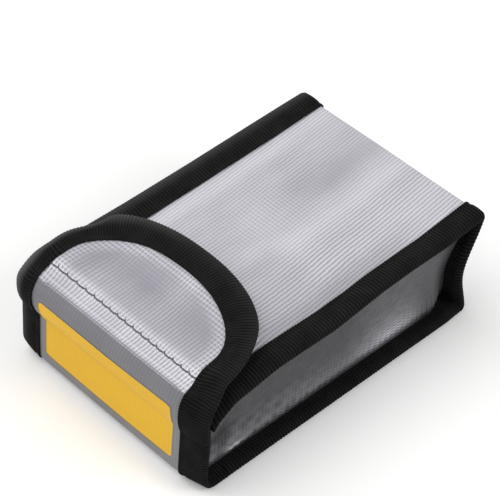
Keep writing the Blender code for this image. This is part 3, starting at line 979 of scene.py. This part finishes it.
def gusset_tone(along, height, painted_light):
    """Painted shade in a pocket where the wall is pushed in behind the flap, a painted glint low down
    beside it, specks towards the front, a painted shade along the foot beside the bottom tape, and the
    painted light and shade of puckers over it."""
    pocket = hump(along, POCKET[0], 4) * hump(height, POCKET[1], 6)
    foot = 0.7 * smooth(-height, -8.5, -5)
    pucker_share = (0.1 + 0.22 * ripple(along, height, 19, 0.7)) * smooth(-height, -17, -9)
    puckers = pucker_share * pucker_wave(along, height)
    specks = 0.5 * ripple(along, height, 4, 0.4) * smooth(-along, -5, 35) * smooth(-height, -24, -15)
    return 0.15 - foot + painted_light * (1.2 * gusset_glint(along, height) - pocket + specks + puckers)


def delete_faces(piece, outside):
    """Delete the faces whose corners all lie outside."""
    choose(piece)
    bpy.ops.object.mode_set(mode="EDIT")
    bpy.ops.mesh.select_all(action="DESELECT")
    bpy.ops.object.mode_set(mode="OBJECT")
    for face in piece.data.polygons:
        face.select = all(outside[corner] for corner in face.vertices)
    bpy.ops.object.mode_set(mode="EDIT")
    bpy.ops.mesh.select_mode(type="FACE")
    bpy.ops.mesh.delete(type="FACE")
    bpy.ops.mesh.select_mode(type="VERT")
    bpy.ops.object.mode_set(mode="OBJECT")


def side_gusset(name, side, painted_light):
    """Cut the wall with its flanges, turn the flanges out, and let it hang slack, with its share of painted
    light and shade, specks and puckers.
    """
    fold_length = WALL_BEND * math.pi / 2
    margin = FLANGE + fold_length
    near_back = gusset_back - FLANGE_NEAR
    columns = np.concatenate([spread(gusset_front, near_back, GUSSET_STEP),
                              spread(near_back, gusset_back + margin, FLANGE_STEP)[1:]])
    rows = spread(gusset_foot - margin, gusset_head + margin, GUSSET_ROWS)
    piece, along, height = cut_sheet(name, columns, rows)
    centre = np.column_stack((np.minimum(along, gusset_back - WALL_CORNER),
                              np.clip(height, gusset_foot + WALL_CORNER, gusset_head - WALL_CORNER)))
    beyond = np.column_stack((along, height)) - centre
    reach = np.linalg.norm(beyond, axis=1)
    way = beyond / np.maximum(reach, 1e-6)[:, None]
    past = np.clip(reach - WALL_CORNER, 0, margin)
    turn = np.minimum(past / WALL_BEND, math.pi / 2)
    upright = centre + way * (np.minimum(reach, WALL_CORNER) + WALL_BEND * np.sin(turn))[:, None]
    out = WALL_BEND * (1 - np.cos(turn)) + np.maximum(past - fold_length, 0)
    recess = back_recess((gusset_head - height) / (gusset_head - gusset_foot))
    recess = recess * smooth(along, gusset_back - RECESS_RUN, gusset_back)
    across = WALL + out + gusset_slack(along, height) - recess
    low = smooth(-height, -22, -8)
    flat = np.column_stack((height, along, 0.02 + 0.1 * low))
    face = np.column_stack((0.3 + 0.5 * low, gusset_shade(along, height, painted_light),
                            gusset_tone(along, height, painted_light)))
    lay(piece, settle(np.column_stack((side * across, upright))), flat, face)
    delete_faces(piece, reach - WALL_CORNER - margin > FLANGE_SPARE)
    thicken(piece, CLOTH)
    return dress(piece, side_cloth)


for label, side in sides.items():
    gusset = side_gusset(f"{label}_gusset_cloth", side, GUSSET_PAINTED_LIGHT[side])
    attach(gusset, "bag")
    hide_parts(f"{label}_gusset")


# Narrow tape round the mouth: across the top panel and up each gusset

POST_TUCK = 0.8          # upper end of a gusset's tape, in under the top panel's
mouth_width = mouth_high[1] - mouth_low[1]
post_width = post_high[1] - post_low[1]
mouth_section = tape_section(MOUTH_STACK, mouth_width, mouth_width)
post_section = tape_section(MOUTH_STACK, post_width, post_width)


def mouth_place(along, inset, depth):
    """Places on the front edge of the top panel."""
    return settle(np.column_stack((along, MOUTH + inset, RAIL_TOP - depth)))


def post_place(side):
    """Places on the front edge of one gusset."""
    def place(along, inset, depth):
        slack = gusset_slack(np.full_like(along, gusset_front), along)
        return settle(np.column_stack((side * (post_high[0] - depth + slack), MOUTH + inset, along)))
    return place


mouth_tape = bind("mouth_tape", (mouth_low[0], mouth_high[0]), mouth_section, mouth_place)
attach(mouth_tape, "bag")
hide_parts("mouth_binding")
mouth_seam = stitch_row("mouth_stitches", (mouth_low[0] + 1, mouth_high[0] - 1), mouth_width - SEAM_INSET,
                        SEAM_DEPTH, mouth_place)
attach(mouth_seam, "bag")

post_run = (post_low[2], post_high[2] + POST_TUCK)
for label, side in sides.items():
    post_tape = bind(f"{label}_mouth_tape", post_run, post_section, post_place(side))
    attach(post_tape, "bag")
    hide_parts(f"{label}_mouth_binding")


# Hook tape under the tongue, its zigzag seam, and the loop tape on the top panel

GROUND = 0.4             # thickness of the woven ground of both tapes
GROUND_STEP = 1.6        # spacing of the columns and rows that follow their bends
ROW_SHIFT = 0.35         # rows of filaments, shifted sideways by turns
PILE_MARGIN = 1.0        # filaments to the side edges of their tape
HOOK_PITCH = 1.5
HOOK_THICK = 0.09        # radius of a hook
HOOK_PATH = ((0, 0.1), (0, 0.4), (0.12, 0.56), (0.3, 0.52), (0.36, 0.4))   # one hook, across and up
LOOP_PITCH = 1.3
LOOP_THICK = 0.07        # radius of a loop's thread
LOOP_PATH = ((-0.3, 0.1), (-0.4, 0.4), (0, 0.6), (0.4, 0.4), (0.3, 0.1))   # one loop, across and up


def tape_ground(name, half, rows, place, material):
    """The woven ground of a hook or loop tape."""
    piece, across, along = cut_sheet(name, spread(-half, half, GROUND_STEP), spread(*rows, GROUND_STEP))
    lay(piece, place(across, along, np.zeros_like(across)), np.column_stack((across, along, 0 * across)))
    thicken(piece, GROUND)
    return dress(piece, material)


def pile(name, path, radius, half, rows, pitch, place, material):
    """One bent filament, copied in rows over a tape and laid on it."""
    piece = start_piece(name, bpy.ops.mesh.primitive_cylinder_add, vertices=4, radius=1, depth=1,
                        end_fill_type="TRIFAN")
    bends = len(path) - 1
    bpy.ops.object.mode_set(mode="EDIT")
    for cut in range(1, bends):
        bpy.ops.mesh.select_all(action="SELECT")
        bpy.ops.mesh.bisect(plane_co=(0, 0, cut / bends - 0.5), plane_no=(0, 0, 1))
    bpy.ops.object.mode_set(mode="OBJECT")
    ring = corner_points(piece)
    level = np.rint((ring[:, 2] + 0.5) * bends).astype(int)
    route = np.array(path, float)
    way = unit(np.gradient(route, axis=0))
    bent = np.column_stack((route[level, 0] + ring[:, 0] * radius * way[level, 1], ring[:, 1] * radius,
                            route[level, 1] - ring[:, 0] * radius * way[level, 0]))
    move_corners(piece, bent)
    columns = int(2 * half / pitch)
    lines = int((rows[1] - rows[0]) / pitch)
    repeat(piece, columns, (pitch, 0, 0))
    repeat(piece, lines, (0, pitch, 0))
    grown = corner_points(piece)
    across = grown[:, 0] - (columns - 1) * pitch / 2
    along = grown[:, 1] + rows[0] + (rows[1] - rows[0] - (lines - 1) * pitch) / 2
    shift = ROW_SHIFT * np.sin(2.4 * np.rint(grown[:, 1] / pitch))
    lay(piece, place(across + shift, along, grown[:, 2]), grown)
    face_outwards(piece)
    return dress(piece, material, angle=80)


def hook_place(across, along, height):
    """Places under the tongue; height is counted down from the hook tape's ground."""
    return flap_place(across, along, TOP - hook_high[2] + GROUND / 2 + height)


def loop_place(across, along, height):
    """Places on the top panel; height is counted up from the loop tape's ground."""
    return settle(np.column_stack((across, along, loop_low[2] + GROUND / 2 + height)))


hook_half = hook_high[0]
hook_rows = (hook_front, hook_back)
hook_ground = tape_ground("hook_tape_ground", hook_half, hook_rows, hook_place, hook_nylon)
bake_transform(hook_ground)
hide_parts("hook_tape")
hooks = pile("hook_tape_hooks", HOOK_PATH, HOOK_THICK, hook_half - PILE_MARGIN, hook_rows, HOOK_PITCH,
             hook_place, hook_nylon)
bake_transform(hooks)

loop_half = loop_high[0]
loop_rows = (loop_low[1], loop_high[1])
loop_ground = tape_ground("loop_tape_ground", loop_half, loop_rows, loop_place, loop_nylon)
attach(loop_ground, "bag")
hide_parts("loop_tape")
loops = pile("loop_tape_loops", LOOP_PATH, LOOP_THICK, loop_half - PILE_MARGIN, loop_rows, LOOP_PITCH,
             loop_place, loop_nylon)
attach(loops, "bag")

# Zigzag seam: a short tick down from the tongue's side, and a long leg along the seam
ZIGZAG_PITCH = 3.85
ZIGZAG_TICK = 1.1
ZIGZAG_LEG = ZIGZAG_PITCH - 0.25
ZIGZAG_THREAD = 0.5
ZIGZAG_LIFT = 0.15       # middle of the thread, above the face of the cloth
ZIGZAG_MARGIN = 0.8      # ends of the seam to the taped edges
# One stitch: places across from its start, along from the seam, and depth from the thread's line
ZIGZAG_STITCH = ((-0.5, ZIGZAG_TICK, 0.3), (-0.2, 0.4, 0), (0.4, 0, 0), (1.9, -0.1, -0.1),
                 (ZIGZAG_LEG - 0.4, 0.2, 0), (ZIGZAG_LEG, 0.4, 0.3))
thread_depth = CLOTH_DEPTH - CLOTH / 2 - ZIGZAG_LIFT


def thread_run(name, stitches, place, material):
    """Lay each stitch as a thread through its points and make the threads one mesh."""
    line = bpy.data.curves.new(name, "CURVE")
    line.dimensions = "3D"
    line.bevel_depth = ZIGZAG_THREAD / 2 * MM
    line.bevel_resolution = 1
    line.use_fill_caps = True
    for stitch in stitches:
        points = place(*stitch.T) * MM
        spline = line.splines.new("POLY")
        spline.points.add(len(points) - 1)
        spline.points.foreach_set("co", np.column_stack((points, np.ones(len(points)))).ravel())
    piece = bpy.data.objects.new(name, line)
    bpy.context.collection.objects.link(piece)
    choose(piece)
    bpy.ops.object.convert(target="MESH")
    return dress(bpy.context.object, material, angle=80)


count = round(2 * (INNER - ZIGZAG_MARGIN) / ZIGZAG_PITCH)
starts = (np.arange(count) - count / 2) * ZIGZAG_PITCH
stitches = [np.array(ZIGZAG_STITCH) + (start, zigzag_run, thread_depth) for start in starts]
zigzag = thread_run("zigzag_seam", stitches, flap_place, grey_thread)
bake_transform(zigzag)
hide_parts("hook_tape_stitching")


# Blank yellow patch on the front wall

PATCH = 0.12
PATCH_GAP = 0.04         # patch to the face of the cloth
PATCH_CORNER = 1.2
PATCH_SLANT = 1.3        # its upper left corner, upwards
PATCH_STEP = 0.6         # spacing of its rows
patch_half = patch_high[0]
patch_foot, patch_head = patch_low[2], patch_high[2]
patch_columns = spread(-patch_half, patch_half, CLOTH_STEP)
patch_rows = spread(patch_foot, patch_head, PATCH_STEP)
patch, patch_across, patch_height = cut_sheet("blank_patch", patch_columns, patch_rows)
near = np.minimum(patch_height - patch_foot, patch_head - patch_height)
patch_rise = smooth(patch_height, CREASE, patch_head) * np.clip(-patch_across / patch_half, 0, 1)
cut_back = PATCH_CORNER - np.sqrt(PATCH_CORNER ** 2 - np.clip(PATCH_CORNER - near, 0, None) ** 2)
patch_across = patch_across * (patch_half - cut_back) / patch_half
patch_run = front_run(patch_height + PATCH_SLANT * patch_rise)
patch_depth = np.full_like(patch_run, CLOTH_DEPTH - CLOTH / 2 - PATCH_GAP - PATCH / 2)
patch_points = flap_place(patch_across, patch_run, patch_depth)
lay(patch, patch_points, np.column_stack((patch_across, patch_run, 0 * patch_run)))
thicken(patch, PATCH)
dress(patch, yellow_ink)
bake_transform(patch)
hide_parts("front_patch")


# Camera, at the photograph's viewing angle

VIEW_AZIMUTH = 42.26
VIEW_ELEVATION = 42.53
VIEW_ROLL = 4.82
VIEW_DISTANCE = 726.7
VIEW_SHIFT = (-0.29, 29.2)   # of the aim, across and up the picture
FOCAL_PIXELS = 2000
PICTURE_WIDTH = 500
SENSOR = 36

azimuth = math.radians(VIEW_AZIMUTH)
elevation = math.radians(VIEW_ELEVATION)
roll = math.radians(VIEW_ROLL)
view_back = np.array((math.sin(azimuth) * math.cos(elevation), -math.cos(azimuth) * math.cos(elevation),
                      math.sin(elevation)))
level_right = np.array((math.cos(azimuth), math.sin(azimuth), 0))
level_up = np.cross(view_back, level_right)
view_right = math.cos(roll) * level_right + math.sin(roll) * level_up
view_up = math.cos(roll) * level_up - math.sin(roll) * level_right
eye = VIEW_SHIFT[0] * view_right + VIEW_SHIFT[1] * view_up + VIEW_DISTANCE * view_back


def stand(name, data, right, up, back, place):
    """Put a camera or lamp in the scene, looking away from its back."""
    pose = np.eye(4)
    pose[:3, :3] = np.column_stack((right, up, back))
    pose[:3, 3] = place
    piece = bpy.data.objects.new(name, data)
    piece.matrix_world = Matrix(pose)
    bpy.context.collection.objects.link(piece)
    return piece


lens = bpy.data.cameras.new("camera")
lens.lens = FOCAL_PIXELS * SENSOR / PICTURE_WIDTH
lens.sensor_width = SENSOR
lens.clip_start = 0.01
bpy.context.scene.camera = stand("camera", lens, view_right, view_up, view_back, eye * MM)


# Floor and studio light

AMBIENT = 0.35           # light of the white room on the bag, as a share of what the camera sees
floor_material, floor_tree, floor_shader = start_material(
    "pale_paper_floor", Roughness=0.9, Base_Color=linear("#f4f4f3"), Specular_IOR_Level=0.1,
    Emission_Color=(1, 1, 1, 1))
floor_ray = add(floor_tree, "LightPath").outputs
floor_place = add(floor_tree, "TexCoord").outputs["Object"]
far = add(floor_tree, "VectorMath", {0: floor_place}, operation="LENGTH").outputs["Value"]
blend_share = add(floor_tree, "MapRange", {"Value": far, "From Min": 0.25, "From Max": 1.0, "To Min": 0.15,
                                    "To Max": 1.0}).outputs["Result"]
glow = add(floor_tree, "Math", {0: floor_ray["Is Camera Ray"], 1: blend_share}, operation="MULTIPLY").outputs[0]
connect(floor_tree, floor_shader, Emission_Strength=glow)
floor = start_piece("floor", bpy.ops.mesh.primitive_plane_add, size=6)
floor.data.materials.append(floor_material)

world = bpy.data.worlds.new("studio")
world.use_nodes = True
bpy.context.scene.world = world
room = world.node_tree
ray = add(room, "LightPath").outputs
seen = add(room, "Math", {0: ray["Is Camera Ray"], 1: ray["Is Glossy Ray"]}, operation="MAXIMUM").outputs[0]
seen_all = add(room, "Math", {0: seen, 1: ray["Is Transmission Ray"]}, operation="MAXIMUM").outputs[0]
strength = add(room, "Math", {0: seen_all, 1: 1 - AMBIENT, 2: AMBIENT}, operation="MULTIPLY_ADD").outputs[0]
room.nodes["Background"].inputs["Color"].default_value = (1, 1, 1, 1)
connect(room, room.nodes["Background"], Strength=strength)


def soft_box(name, place, size, power):
    """A square studio lamp pointed at the bag."""
    lamp = bpy.data.lights.new(name, "AREA")
    lamp.size = size
    lamp.energy = power
    back = unit(np.array(place))
    across = unit(np.cross((0, 1, 0.01), back))
    stand(name, lamp, across, np.cross(back, across), back, place)


soft_box("overhead_box", (-0.4, -0.35, 0.95), 1.1, 8.9)
soft_box("side_box", (0.75, 0.35, 0.7), 0.5, 4.0)

bpy.context.scene.view_settings.view_transform = "Standard"
